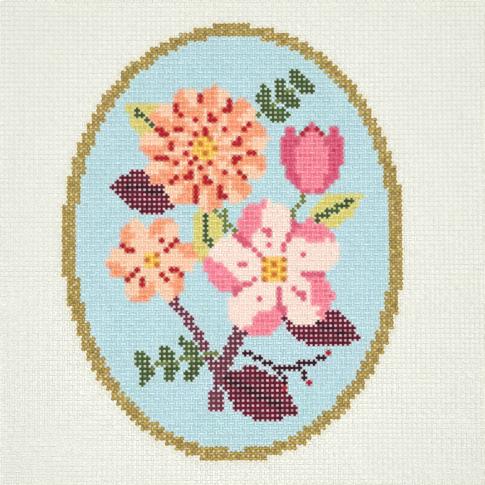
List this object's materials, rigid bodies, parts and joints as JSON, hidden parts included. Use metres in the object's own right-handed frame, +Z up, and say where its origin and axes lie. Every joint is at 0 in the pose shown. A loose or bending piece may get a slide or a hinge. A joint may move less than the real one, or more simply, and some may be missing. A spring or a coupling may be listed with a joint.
{
  "type": "needlepoint canvas panel",
  "caption": "Hand-painted mono needlepoint canvas lying face up: a stepped gold oval border, pale blue ground and a flower spray on bare white canvas.",
  "frame": {"origin": "centre of the footprint, at the surface that the middle of the cloth lies on", "axes": "+Y towards the top of the painted design, +X to its right, +Z up out of the painted face"},
  "size_m": [0.175, 0.2032, 0.012],
  "materials": {
    "painted_canvas": "open mono cotton canvas, stiff with size, bare at the margin and coated thread by thread with acrylic paint inside the oval"
  },
  "bodies": {
    "root": {"canvas": "painted_canvas"}
  },
  "joints": []
}
